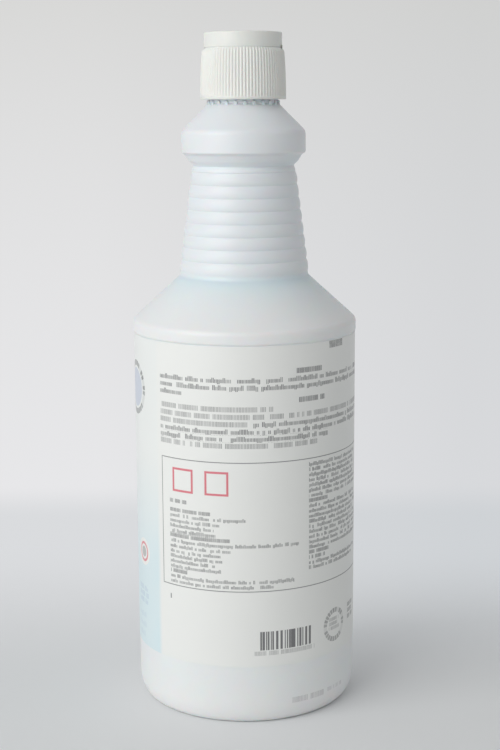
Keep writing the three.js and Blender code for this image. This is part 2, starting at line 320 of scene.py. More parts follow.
class Nodes:
    """Adds nodes to a tree in a few words."""

    def __init__(self, tree):
        self.tree = tree

    def add(self, kind, **values):
        """Adds a node, sets its properties and its inputs by position or name."""
        node = self.tree.nodes.new(kind)
        inputs = values.pop("inputs", {})
        for key, value in values.items():
            setattr(node, key, value)
        for key, value in inputs.items():
            self.feed(node.inputs[key], value)
        return node

    def feed(self, socket, value):
        """Links a socket or sets its value."""
        if isinstance(value, bpy.types.NodeSocket):
            self.tree.links.new(value, socket)
        else:
            socket.default_value = value

    def math(self, operation, a, b=0.0, c=0.0):
        """A Math node's result."""
        node = self.add("ShaderNodeMath", operation=operation, inputs={0: a, 1: b, 2: c})
        return node.outputs[0]

    def plus(self, a, b):
        """The sum of two values."""
        return self.math("ADD", a, b)

    def minus(self, a, b):
        """The first value less the second."""
        return self.math("SUBTRACT", a, b)

    def times(self, a, b):
        """The product of two values."""
        return self.math("MULTIPLY", a, b)

    def over(self, a, b):
        """The first value divided by the second."""
        return self.math("DIVIDE", a, b)

    def between(self, value, low, high):
        """1 where low < value < high."""
        return self.times(self.math("GREATER_THAN", value, low),
                          self.math("LESS_THAN", value, high))

    def ramp(self, value, start, end, low=0.0, high=1.0, kind="LINEAR"):
        """Carries a value from one range to another, or eases it with SMOOTHSTEP."""
        return self.add("ShaderNodeMapRange", interpolation_type=kind, inputs={
            "Value": value, "From Min": start, "From Max": end, "To Min": low,
            "To Max": high}).outputs["Result"]

    def noise(self, vector, scale, **more):
        """A noise texture's value."""
        inputs = {"Vector": vector, "Scale": scale, **more}
        return self.add("ShaderNodeTexNoise", inputs=inputs).outputs["Fac"]

    def group(self, name, **values):
        """Places a shared group; an underscore in a keyword stands for a space."""
        inputs = {key.replace("_", " "): value for key, value in values.items()}
        return self.add("ShaderNodeGroup", node_tree=bpy.data.node_groups[name], inputs=inputs)

    def split(self, vector):
        """A vector's X, Y and Z."""
        return self.add("ShaderNodeSeparateXYZ", inputs={0: vector}).outputs

    def place(self):
        """Object coordinates."""
        return self.add("ShaderNodeTexCoord").outputs["Object"]

    def give(self, **results):
        """Feeds a group's outputs."""
        out = self.add("NodeGroupOutput")
        for label, value in results.items():
            self.feed(out.inputs[label], value)

    def seen(self):
        """1 for camera, glossy and transmission rays."""
        light = self.add("ShaderNodeLightPath").outputs
        seen = self.math("MAXIMUM", light["Is Camera Ray"], light["Is Glossy Ray"])
        return self.math("MAXIMUM", seen, light["Is Transmission Ray"])

    def mix(self, factor, a, b):
        """Mixes two colours."""
        node = self.add("ShaderNodeMix", data_type="RGBA")
        self.feed(node.inputs["Factor"], factor)
        self.feed(node.inputs["A"], a)
        self.feed(node.inputs["B"], b)
        return node.outputs["Result"]


def rgba(value):
    """A colour with full alpha."""
    return (*value, 1.0)


def new_group(name, inputs, outputs):
    """A shader node group: its node helper and its inputs. Tuples make vector sockets."""
    if name in bpy.data.node_groups:
        bpy.data.node_groups.remove(bpy.data.node_groups[name])
    tree = bpy.data.node_groups.new(name, "ShaderNodeTree")
    for way, sockets in (("INPUT", inputs), ("OUTPUT", outputs)):
        for label, value in sockets.items():
            kind = "NodeSocketVector" if isinstance(value, tuple) else "NodeSocketFloat"
            socket = tree.interface.new_socket(label, in_out=way, socket_type=kind)
            socket.default_value = value
    nodes = Nodes(tree)
    return nodes, nodes.add("NodeGroupInput").outputs


def moulded_skin_group():
    """Fine orange-peel height and a faint cloud over a moulded surface."""
    nodes, ends = new_group("moulded_skin", {"Grain": 900.0, "Cloud": 30.0},
                            {"Height": 0.0, "Shade": 0.0})
    place = nodes.place()
    grain = nodes.noise(place, ends["Grain"], Detail=3.0, Roughness=0.5)
    cloud = nodes.noise(place, ends["Cloud"], Detail=4.0, Roughness=0.55)
    nodes.give(Height=grain, Shade=cloud)


def around_group():
    """Arc length round the body from the photo's side, and height, both in millimetres."""
    nodes, ends = new_group("around_body", {"Radius mm": 43.0}, {"Arc": 0.0, "Up": 0.0})
    split = nodes.split(nodes.place())
    angle = nodes.math("ARCTAN2", split["X"], nodes.times(split["Y"], -1.0))
    nodes.give(Arc=nodes.times(angle, ends["Radius mm"]), Up=nodes.times(split["Z"], 1000.0))


def text_area_group():
    """The area of a block of text rows: height above the row's middle, and the row's own number."""
    nodes, ends = new_group(
        "text_area",
        {"Arc": 0.0, "Up": 0.0, "Left": -30.0, "Right": 30.0, "Top": 100.0, "Pitch": 2.0,
         "Rows": 1.0, "Ragged": 0.0},
        {"Inside": 0.0, "Place": NO_VECTOR})
    down = nodes.plus(nodes.over(nodes.minus(ends["Top"], ends["Up"]), ends["Pitch"]), 0.5)
    row = nodes.math("FLOOR", down)
    above = nodes.times(nodes.minus(0.5, nodes.math("FRACT", down)), ends["Pitch"])
    in_rows = nodes.between(row, -0.5, nodes.minus(ends["Rows"], 0.5))
    seed = nodes.plus(row, ends["Top"])
    short = nodes.add("ShaderNodeTexWhiteNoise", noise_dimensions="1D", inputs={"W": seed})
    ragged = nodes.times(short.outputs["Value"], ends["Ragged"])
    across = nodes.between(ends["Arc"], ends["Left"], nodes.minus(ends["Right"], ragged))
    inside = nodes.times(in_rows, across)
    place = nodes.add("ShaderNodeCombineXYZ", inputs={
        0: nodes.times(above, inside), 1: nodes.times(seed, inside)})
    nodes.give(Inside=inside, Place=place.outputs[0])


def letters_group():
    """Letter-sized strokes with word gaps in rows of blank text."""
    nodes, ends = new_group("blank_letters", {"Arc": 0.0, "Place": NO_VECTOR, "Style": NO_VECTOR},
                            {"Mask": 0.0})
    place, style = nodes.split(ends["Place"]), nodes.split(ends["Style"])
    above, seed = place["X"], place["Y"]
    height, tall_share, ink = style["X"], style["Y"], style["Z"]
    # Cells one letter wide, each with its own random height, gap and weight
    along = nodes.plus(nodes.over(ends["Arc"], nodes.times(height, 0.56)), nodes.times(seed, 3.7))
    spot = nodes.add("ShaderNodeCombineXYZ", inputs={0: nodes.math("FLOOR", along), 1: seed})
    dice = nodes.add("ShaderNodeTexWhiteNoise", noise_dimensions="2D", inputs={
        "Vector": spot.outputs[0]})
    rolls = nodes.add("ShaderNodeSeparateColor", inputs={0: dice.outputs["Color"]}).outputs
    tall = nodes.math("LESS_THAN", rolls["Green"], tall_share)
    tail = nodes.math("GREATER_THAN", rolls["Green"], nodes.math("MAXIMUM", tall_share, 0.88))
    high = nodes.times(height, nodes.math("MULTIPLY_ADD", tall, 0.3, 0.2))
    low = nodes.times(height, nodes.math("MULTIPLY_ADD", tail, -0.22, -0.5))
    mask = nodes.between(above, low, high)
    side = nodes.math("ABSOLUTE", nodes.minus(nodes.math("FRACT", along), 0.5))
    stroke = nodes.ramp(side, 0.08, 0.3, 0.25, 1.0)
    weight = nodes.math("MULTIPLY_ADD", rolls["Blue"], 0.4, 0.8)
    mask = nodes.times(mask, nodes.math("GREATER_THAN", rolls["Red"], 0.15))
    mask = nodes.times(mask, nodes.math("LESS_THAN", side, 0.42))
    mask = nodes.times(nodes.times(mask, stroke), weight)
    nodes.give(Mask=nodes.math("MINIMUM", nodes.times(mask, ink), 1.0))


def stamp_group():
    """A round stamp: a band of letter-sized dashes, and the distance from its centre."""
    nodes, ends = new_group(
        "round_stamp",
        {"Arc": 0.0, "Up": 0.0, "Centre arc": 0.0, "Centre up": 0.0, "Radius": 5.0,
         "Width": 0.24, "Dashes": 26.0},
        {"Band": 0.0, "Away": 0.0})
    dx = nodes.minus(ends["Arc"], ends["Centre arc"])
    dy = nodes.minus(ends["Up"], ends["Centre up"])
    square = nodes.plus(nodes.times(dx, dx), nodes.times(dy, dy))
    away = nodes.over(nodes.math("SQRT", square), ends["Radius"])
    turn = nodes.over(nodes.math("ARCTAN2", dy, dx), FULL_TURN)
    cell = nodes.times(turn, ends["Dashes"])
    dice = nodes.add("ShaderNodeTexWhiteNoise", noise_dimensions="1D", inputs={
        "W": nodes.math("FLOOR", cell)}).outputs["Value"]
    dash = nodes.between(nodes.math("FRACT", cell), 0.14, 0.86)
    dash = nodes.times(dash, nodes.math("GREATER_THAN", dice, 0.15))
    dash = nodes.times(dash, nodes.math("MULTIPLY_ADD", dice, 0.3, 0.7))
    band = nodes.between(away, nodes.minus(1.0, ends["Width"]), 1.0)
    nodes.give(Band=nodes.times(band, nodes.math("MAXIMUM", dash, 0.22)), Away=away)


def frame_line_group():
    """The outline of an upright box on the label."""
    nodes, ends = new_group(
        "outlined_box",
        {"Arc": 0.0, "Up": 0.0, "Centre arc": 0.0, "Centre up": 0.0, "Half width": 5.0,
         "Half height": 5.0, "Line": 0.5},
        {"Mask": 0.0})
    dx = nodes.math("ABSOLUTE", nodes.minus(ends["Arc"], ends["Centre arc"]))
    dy = nodes.math("ABSOLUTE", nodes.minus(ends["Up"], ends["Centre up"]))
    dx, dy = nodes.minus(dx, ends["Half width"]), nodes.minus(dy, ends["Half height"])
    edge = nodes.math("ABSOLUTE", nodes.math("MAXIMUM", dx, dy))
    nodes.give(Mask=nodes.math("LESS_THAN", edge, ends["Line"]))


def new_material(name, **values):
    """A material's node helper and its Principled shader's inputs, with the values set."""
    material = bpy.data.materials.new(name)
    material.use_nodes = True
    inputs = material.node_tree.nodes["Principled BSDF"].inputs
    for key, value in values.items():
        inputs[key.replace("_", " ")].default_value = value
    return Nodes(material.node_tree), inputs


def skin_bump(nodes, inputs, skin, strength, depth):
    """Feeds the skin's fine height into a shader."""
    bump = nodes.add("ShaderNodeBump", inputs={
        "Height": skin["Height"], "Strength": strength, "Distance": depth})
    nodes.feed(inputs["Normal"], bump.outputs["Normal"])


def moulded_plastic(name, base, roughness, grain, strength, subsurface=0.0, dress=None):
    """Moulded plastic with a fine skin and a faint uneven shade."""
    nodes, inputs = new_material(name, IOR=1.5)
    skin = nodes.group("moulded_skin", Grain=grain).outputs
    shade = nodes.ramp(skin["Shade"], 0.3, 0.7)
    tint = nodes.mix(shade, rgba([c * 0.965 for c in base]), rgba(base))
    nodes.feed(inputs["Base Color"], dress(nodes, tint) if dress else tint)
    uneven = nodes.ramp(skin["Shade"], 0.3, 0.7, roughness * 0.92, roughness * 1.1)
    nodes.feed(inputs["Roughness"], uneven)
    skin_bump(nodes, inputs, skin, strength, 0.00004)
    if subsurface:
        inputs["Subsurface Weight"].default_value = subsurface
        inputs["Subsurface Scale"].default_value = 0.003


def shell_dress(colours):
    """The shell's bluish tinge, partly the cleaner showing through and partly a painted sky reflection on
    its upward-facing shoulder and cones, weaker on the upright bulb, and the pale lot marks on its heel.
    """
    def dress(nodes, tint):
        body = nodes.group("around_body")
        up = body.outputs["Up"]
        # Painted sky reflection mixed with the cleaner showing through: faint low down, full from the
        # grip up, weaker on the upright bulb
        rise = nodes.ramp(up, 144.0, 172.0, 0.15, 1.0, "SMOOTHSTEP")
        off = nodes.math("ABSOLUTE", nodes.minus(up, 216.5))
        bulb = nodes.ramp(off, 3.0, 8.0, 0.75, 1.0, "SMOOTHSTEP")
        tint = nodes.mix(nodes.times(rise, bulb), tint, rgba(colours.cleaner_and_sky_tinge))
        return print_rows(nodes, tint, colours.ink, body, LOT_ROWS)
    return dress


# Letters: height in mm, share of tall ones and ink

HEADING = (1.95, 1.0, 0.95)
PLAIN = (1.9, 0.3, 0.85)
CAPITALS = (1.9, 1.0, 0.64)
SMALL = (1.4, 0.3, 0.82)
SMALL_CAPITALS = (1.4, 1.0, 0.9)
COLUMN = (1.45, 0.35, 0.9)
COLUMN_CAPITALS = (1.45, 1.0, 0.95)

# Print, each row as its ends in degrees round the body, mm up, pitch and letters, and for
# a block also the number of rows and their ragged end in degrees

LOT_ROWS = (
    (24.0, 44.0, 8.3, 3.0, (2.3, 1.0, 0.36)),
    (46.0, 60.0, 8.6, 3.0, (1.6, 1.0, 0.26)),
)

TEXT_ROWS = (
    (26.0, 43.5, 135.8, 2.75, HEADING),
    (-47.5, 84.0, 132.9, 2.72, PLAIN, 2, 0.0),
    (-47.5, -33.0, 127.4, 2.75, (1.9, 0.3, 0.82)),
    (27.0, 43.5, 124.9, 2.75, HEADING),
    (-47.5, 14.0, 122.1, 2.75, CAPITALS),
    (-47.5, 84.0, 119.3, 2.75, CAPITALS),
    (-47.5, 2.0, 116.55, 2.75, CAPITALS),
    (2.5, 84.0, 116.55, 2.75, PLAIN),
    (-47.5, 82.0, 113.8, 2.75, PLAIN),
    (-47.5, 46.0, 111.1, 2.75, PLAIN),
    (-47.5, 38.5, 108.4, 2.75, CAPITALS),
    (-41.5, -31.0, 85.7, 2.0, (1.5, 1.0, 0.9)),
    (-41.5, -18.0, 82.2, 2.0, SMALL_CAPITALS),
    (-41.5, 0.0, 80.2, 2.0, SMALL),
    (-41.5, -11.0, 78.15, 2.0, SMALL, 3, 8.0),
    (-41.5, -8.0, 72.3, 2.0, SMALL_CAPITALS),
    (-41.5, 27.5, 70.3, 2.0, SMALL),
    (-41.5, -2.0, 68.2, 1.97, SMALL, 5, 14.0),
    (-41.5, -31.0, 58.4, 2.0, SMALL_CAPITALS),
    (-41.5, 25.0, 56.4, 2.0, SMALL),
    (-41.5, 14.0, 54.4, 2.0, SMALL),
    (33.5, 84.0, 99.9, 2.0, COLUMN, 7, 10.0),
    (33.5, 46.0, 85.9, 2.0, COLUMN_CAPITALS),
    (33.5, 84.0, 83.9, 2.0, COLUMN, 9, 12.0),
    (33.5, 48.0, 65.9, 2.0, COLUMN_CAPITALS, 2, 4.0),
    (33.5, 80.0, 61.9, 2.0, COLUMN, 2, 6.0),
    (47.0, 58.5, 144.6, 1.3, (1.35, 1.0, 0.9), 2, 0.0),
    (4.0, 37.0, 28.4, 2.0, (1.7, 1.0, 0.5)),
    (67.0, 76.0, 38.6, 2.4, (1.7, 1.0, 0.75), 3, 2.0),
    (47.5, 57.5, 36.4, 1.8, (1.4, 1.0, 0.55), 3, 1.5),
)
FRONT_ROWS = (
    (-76.0, -61.0, 46.0, 2.6, (2.0, 0.6, 0.3), 3, 3.0),
    (-76.0, -62.0, 35.0, 4.0, (2.2, 0.5, 0.16), 3, 6.0),
)

# Outlined boxes: centre in degrees and mm up, half width, half height, line, ink or red
RULED_BOXES = (
    (22.7, 77.4, 52.1, 24.7, 0.16, "ink"),
    (-33.3, 94.0, 4.2, 4.2, 0.42, "red"),
    (-14.6, 94.0, 4.2, 4.2, 0.42, "red"),
    (-41.6, 48.0, 0.1, 0.8, 0.16, "ink"),
)


def degree(body):
    """The arc length of one degree round the body."""
    return body.inputs["Radius mm"].default_value * math.pi / 180


def print_rows(nodes, painted, ink, body, rows):
    """Prints rows of blank text over a colour; the areas don't overlap, so they add up."""
    deg = degree(body)
    arc, up = body.outputs["Arc"], body.outputs["Up"]
    place, style = NO_VECTOR, NO_VECTOR
    for left, right, top, pitch, letters, *block in rows:
        count, ragged = block or (1, 0.0)
        area = nodes.group("text_area", Arc=arc, Up=up, Left=left * deg, Right=right * deg, Top=top,
                           Pitch=pitch, Rows=float(count), Ragged=ragged * deg).outputs
        place = nodes.add("ShaderNodeVectorMath", operation="ADD", inputs={
            0: area["Place"], 1: place}).outputs[0]
        style = nodes.add("ShaderNodeVectorMath", operation="MULTIPLY_ADD", inputs={
            0: area["Inside"], 1: letters, 2: style}).outputs[0]
    strokes = nodes.group("blank_letters", Arc=arc, Place=place, Style=style)
    return nodes.mix(strokes.outputs["Mask"], painted, rgba(ink))


def round_stamp(nodes, body, degrees, up, radius, width, dashes):
    """A round stamp's dashed band and the distance from its centre, over its radius."""
    stamp = nodes.group("round_stamp", Arc=body.outputs["Arc"], Up=body.outputs["Up"],
                        Centre_arc=degrees * degree(body), Centre_up=up, Radius=radius,
                        Width=width, Dashes=dashes).outputs
    return stamp["Band"], stamp["Away"]


def tinted_panel(nodes, base, colours, body, shade):
    """The pale blue front panel, clouded and fading out upwards."""
    arc, deg = body.outputs["Arc"], degree(body)
    front = nodes.ramp(arc, -52.0 * deg, -48.4 * deg, 1.0, 0.0, "SMOOTHSTEP")
    panel = nodes.math("MAXIMUM", front, nodes.math("GREATER_THAN", arc, 131.0 * deg))
    fade = nodes.ramp(body.outputs["Up"], 50.0, 104.0, 1.0, 0.1, "SMOOTHSTEP")
    amount = nodes.times(nodes.times(panel, fade), nodes.ramp(shade, 0.25, 0.75, 0.7, 1.1))
    return nodes.mix(amount, base, rgba(colours.tint))


def wrap_label_material(colours):
    """Satin label film with a tinted front panel and plain print."""
    nodes, inputs = new_material("printed_film", Roughness=0.42)
    body = nodes.group("around_body", Radius_mm=LABEL_BOX[1][0] * 1000)
    arc, up, deg = body.outputs["Arc"], body.outputs["Up"], degree(body)
    skin = nodes.group("moulded_skin").outputs
    base = nodes.mix(skin["Shade"], rgba([c * 0.985 for c in colours.label]), rgba(colours.label))
    painted = tinted_panel(nodes, base, colours, body, skin["Shade"])
    painted = print_rows(nodes, painted, colours.ink, body, TEXT_ROWS)
    painted = print_rows(nodes, painted, colours.badge, body, FRONT_ROWS)

    def paint(mask, amount, tone):
        """Lays one more colour over the print."""
        nonlocal painted
        painted = nodes.mix(nodes.times(mask, amount), painted, rgba(tone))

    for centre, at_up, width, height, line, shade in RULED_BOXES:
        box = nodes.group("outlined_box", Arc=arc, Up=up, Centre_arc=centre * deg, Centre_up=at_up,
                          Half_width=width, Half_height=height, Line=line)
        paint(box.outputs["Mask"], 0.8, getattr(colours, shade))

    # Upright bars of uneven width
    bars = nodes.add("ShaderNodeTexNoise", noise_dimensions="1D", inputs={
        "W": arc, "Scale": 1.15, "Detail": 0.0})
    in_bars = nodes.times(nodes.between(arc, 6.5 * deg, 35.0 * deg), nodes.between(up, 29.6, 36.9))
    dark = nodes.math("GREATER_THAN", bars.outputs["Fac"], 0.48)
    paint(nodes.times(in_bars, dark), 0.85, colours.ink)

    # The plain stamp by the bars, the front's large badge and its small one
    band, _ = round_stamp(nodes, body, 52.5, 34.0, 6.7, 0.28, 24.0)
    paint(band, 0.6, colours.ink)
    band, away = round_stamp(nodes, body, -76.0, 125.0, 10.5, 0.2, 30.0)
    paint(nodes.math("LESS_THAN", away, 0.72), 0.35, colours.badge)
    paint(band, 0.75, colours.ink)
    _, away = round_stamp(nodes, body, -67.0, 60.9, 5.4, 0.2, 20.0)
    paint(nodes.math("LESS_THAN", away, 1.0), 1.0, colours.label)
    paint(nodes.between(away, 0.56, 0.74), 0.7, colours.red)
    paint(nodes.math("LESS_THAN", away, 0.4), 0.45, colours.ink)

    nodes.feed(inputs["Base Color"], painted)
    skin_bump(nodes, inputs, skin, 0.12, 0.00003)


def liquid_material(colours):
    """Pale blue cleaner with slightly uneven depth."""
    nodes, inputs = new_material("bowl_cleaner", Roughness=0.08, IOR=1.33)
    deep = rgba([c * 0.94 for c in colours.liquid])
    shade = nodes.mix(nodes.noise(nodes.place(), 18.0), rgba(colours.liquid), deep)
    nodes.feed(inputs["Base Color"], shade)


def stage_paper(colours):
    """Floor paper that turns into the photo's soft bright backdrop for the camera: behind the bottle it
    glows with painted light, lighter on the window's side and darker on the far side and at the top, in
    place of the lit floor.
    """
    nodes, inputs = new_material("stage_paper", Emission_Strength=1.0, Roughness=0.9,
                                 Specular_IOR_Level=0.0)
    place = nodes.place()
    split = nodes.split(place)
    floor = nodes.mix(nodes.noise(place, 3.0), rgba(colours.floor),
                      rgba([c * 0.985 for c in colours.floor]))

    # The slopes across and up, as seen from the photo's place, pick the backdrop's painted shade: lighter
    # at its foot on the window's side, darker on the far side and towards the top
    depth = nodes.plus(split["Y"], -CAMERA_PLACE[1])
    across = nodes.ramp(nodes.over(split["X"], depth), -0.1, 0.15)
    height = nodes.minus(split["Z"], CAMERA_PLACE[2])
    rise = nodes.ramp(nodes.over(height, depth), -0.262, 0.07)
    rise = nodes.times(nodes.plus(rise, nodes.math("POWER", rise, 3.0)), 0.5)
    far_floor_glow, foot, top = (
        nodes.mix(across, rgba(near), rgba(far))
        for near, far in ((colours.far_floor_glow, colours.far_floor_painted_shade), (colours.wall, colours.wall_far_painted_shade),
                          (colours.wall_top_painted_shade, colours.wall_top_far_painted_shade)))
    behind = nodes.ramp(split["Y"], *HORIZON, kind="SMOOTHSTEP")
    wall = nodes.mix(behind, far_floor_glow, nodes.mix(rise, foot, top))

    # For camera, glossy and transmission rays the lit floor, with the bottle's shadow, gives way behind
    # the bottle to the glow of painted light
    amount = nodes.times(nodes.ramp(split["Y"], *FAR_FLOOR, kind="SMOOTHSTEP"), nodes.seen())
    nodes.feed(inputs["Base Color"], nodes.mix(amount, floor, rgba(NO_VECTOR)))
    nodes.feed(inputs["Emission Color"], nodes.mix(amount, rgba(NO_VECTOR), wall))


# Pieces


def settings(context):
    """The scene's bottle settings."""
    return context.scene.cleaner_bottle


class BOTTLE_OT_finishes(bpy.types.Operator):
    """Builds the shared node groups and the finishes"""

    bl_idname = "bottle.finishes"
    bl_label = "Finishes"

    def execute(self, context):
        colours = settings(context).colours
        moulded_skin_group()
        around_group()
        text_area_group()
        letters_group()
        frame_line_group()
        stamp_group()
        moulded_plastic("blown_polyethylene", colours.bottle, 0.36, 700.0, 0.5, 0.25,
                        shell_dress(colours))
        moulded_plastic("moulded_cap_plastic", colours.cap, 0.45, 1500.0, 0.4, 0.1)
        moulded_plastic("closed_cell_foam", (0.85, 0.85, 0.82), 0.8, 2500.0, 1.0)
        wrap_label_material(colours)
        liquid_material(colours)
        return {"FINISHED"}


class BOTTLE_OT_shell(bpy.types.Operator):
    """Spins the blown bottle with its grip rings, thread and lugs"""

    bl_idname = "bottle.shell"
    bl_label = "Blown shell"

    STEPS = 192

    def execute(self, context):
        s = settings(context).bottle
        bm = bmesh.new()
        outline = self.outside(s) + self.inside(s)
        spin_outline(bm, outline, self.STEPS)
        clean(bm)
        finish_piece(bm, "blown_shell", *SHELL, ("bottle",))
        self.thread(s)
        self.lugs(s)
        return {"FINISHED"}

    def outside(self, s):
        """The outer profile from the base's middle to the mouth."""
        foot = s.body_radius - s.heel_inset
        points = fillet([
            (0.0, s.push_up, 0),
            (foot - s.ring_width - 6 * MM, s.push_up, 1.5 * MM),
            (foot - s.ring_width, 0.0, 0.3 * MM),
            (foot, 0.0, 0),
        ])
        for k in range(1, 14):
            a = math.radians(90 * k / 14)
            points.append(Vector((foot + s.heel_inset * math.sin(a),
                                  s.heel_height * (1 - math.cos(a)))))
        bead = BOTTLE_BOX[1][0]
        cone_top = s.grip_bottom - 1.6 * MM
        points += fillet([
            (s.body_radius, s.heel_height, 0),
            (s.body_radius, s.bead_bottom, 0.2 * MM),
            (bead - 0.05 * MM, s.bead_bottom + 0.7 * MM, 0.6 * MM),
            (bead, s.bead_top - 0.1 * MM, 3.4 * MM),
            (s.grip_bottom_radius + 0.3 * MM, cone_top, 4.5 * MM),
            (s.grip_bottom_radius, s.grip_bottom, 0),
        ])[:-1]
        points += self.grip(s)
        crown = 3.8 * MM
        points += fillet([
            (s.grip_top_radius + 0.15 * MM, s.grip_top + 0.3 * MM, 0),
            (s.grip_top_radius, s.grip_top + 1.2 * MM, 0.4 * MM),
            (s.grip_top_radius - s.crease_depth, s.crease, 0.3 * MM),
            (s.grip_top_radius + 1.3 * MM, s.crease + 1.9 * MM, 1.2 * MM),
            (s.bulb_radius - 1.4 * MM, s.bulb_bottom - 0.6 * MM, 0.4 * MM),
            (s.bulb_radius, s.bulb_bottom + 0.4 * MM, 0.8 * MM),
            (s.bulb_radius, s.bulb_top + 1.3 * MM, crown),
            (s.collar_radius + 0.9 * MM, s.collar_bottom, 0.9 * MM),
            (s.collar_radius, s.collar_bottom + 0.7 * MM, 0.2 * MM),
            (s.collar_radius, s.collar_top, 0.3 * MM),
            (s.root_radius, s.collar_top, 0.3 * MM),
            (s.root_radius, BOTTLE_BOX[1][2], 0.5 * MM),
            (s.bore_radius, BOTTLE_BOX[1][2], 0.3 * MM),
            (s.bore_radius, s.collar_bottom, 0),
        ])
        return points

    def grip(self, s):
        """The grip neck's rounded rings between narrow grooves."""
        points = []
        samples = 12
        total = s.grip_rings * samples
        for k in range(total + 1):
            share = k / total
            radius = s.grip_bottom_radius + (s.grip_top_radius - s.grip_bottom_radius) * share
            wave = abs(math.sin(math.pi * s.grip_rings * share))
            points.append(Vector((radius + s.grip_rise * wave ** 0.75,
                                  s.grip_bottom + (s.grip_top - s.grip_bottom) * share)))
        return points

    def inside(self, s):
        """The inner profile from the bore down to the base's middle."""
        w = s.wall
        return fillet([
            (s.bore_radius, s.collar_bottom, 0),
            (s.bulb_radius - w * 1.9, s.bulb_top, 2 * MM),
            (s.bulb_radius - w, s.bulb_bottom + 2 * MM, 2 * MM),
            (s.grip_top_radius - s.crease_depth - w, s.crease, 2 * MM),
            (s.grip_bottom_radius - w, s.grip_bottom, 4 * MM),
            (s.body_radius - w, s.bead_top - 1.5 * MM, 4 * MM),
            (s.body_radius - w, s.heel_height + 1 * MM, 8 * MM),
            (s.body_radius - s.heel_inset - w, s.push_up + w, 2 * MM),
            (0.0, s.push_up + w, 0),
        ])[1:]

    def thread(self, s):
        """The neck's thread, one ridge on a helix."""
        start = BOTTLE_BOX[1][2] - THREAD_DROP - THREAD_TURNS * s.thread_pitch
        thread_ridge("neck_thread", SHELL, s.root_radius - 0.2 * MM, s.thread_radius, start,
                     s.thread_pitch)

    def lugs(self, s):
        """Small upright lugs round the collar."""
        bm = bmesh.new()
        depth, stand, drop = 2.2 * MM, 0.65 * MM, 0.7 * MM
        middle = Vector((s.collar_radius - depth / 2 + stand, 0.0,
                         s.collar_bottom - drop + s.lug_height / 2))
        phase = math.radians(3.0 - 90.0)
        for k in range(s.lug_count):
            made = bmesh.ops.create_cube(bm, size=1.0)["verts"]
            bmesh.ops.scale(bm, verts=made, vec=(depth, s.lug_width, s.lug_height))
            upper = [vert for vert in made if vert.co.z > 0.0]
            bmesh.ops.scale(bm, verts=upper, vec=(1.0, 0.5, 1.0))
            bmesh.ops.translate(bm, verts=made, vec=middle)
            turn = Matrix.Rotation(FULL_TURN * k / s.lug_count + phase, 3, "Z")
            bmesh.ops.rotate(bm, verts=made, cent=(0, 0, 0), matrix=turn)
        bmesh.ops.bevel(bm, geom=bm.edges[:], offset=0.3 * MM, affect="EDGES", segments=3,
                        profile=0.5, material=-1)
        clean(bm)
        finish_piece(bm, "collar_lugs", *SHELL)


class BOTTLE_OT_label(bpy.types.Operator):
    """Wraps the thin printed label round the body"""

    bl_idname = "bottle.label"
    bl_label = "Wrap label"

    STEPS = 188

    def execute(self, context):
        s = settings(context).bottle
        inner = s.body_radius + 0.03 * MM
        outer = LABEL_BOX[1][0]
        low, high = LABEL_BOX[0][2], LABEL_BOX[1][2]
        bm = bmesh.new()
        outline = [(inner, low), (outer, low), (outer, high), (inner, high)]
        spin_outline(bm, outline, self.STEPS, closed=True, turn=math.radians(360 - LABEL_GAP))
        turn = Matrix.Rotation(math.radians(LABEL_SEAM - 90) + math.radians(LABEL_GAP), 3, "Z")
        bmesh.ops.rotate(bm, verts=bm.verts, cent=(0, 0, 0), matrix=turn)
        close_ends(bm)
        clean(bm)
        finish_piece(bm, "printed_label", "bottle", "printed_film", "label_film", ("wrap_label",))
        return {"FINISHED"}


class BOTTLE_OT_fill(bpy.types.Operator):
    """Finishes the liquid and the foam seal, whose CAD shapes stay"""

    bl_idname = "bottle.fill"
    bl_label = "Cleaner and seal"

    def execute(self, context):
        for node, material in (("cleaner_fill", "bowl_cleaner"), ("seal_ring", "closed_cell_foam")):
            solid = frame["nodes"][node]
            solid.data.materials.clear()
            solid.data.materials.append(bpy.data.materials[material])
        return {"FINISHED"}


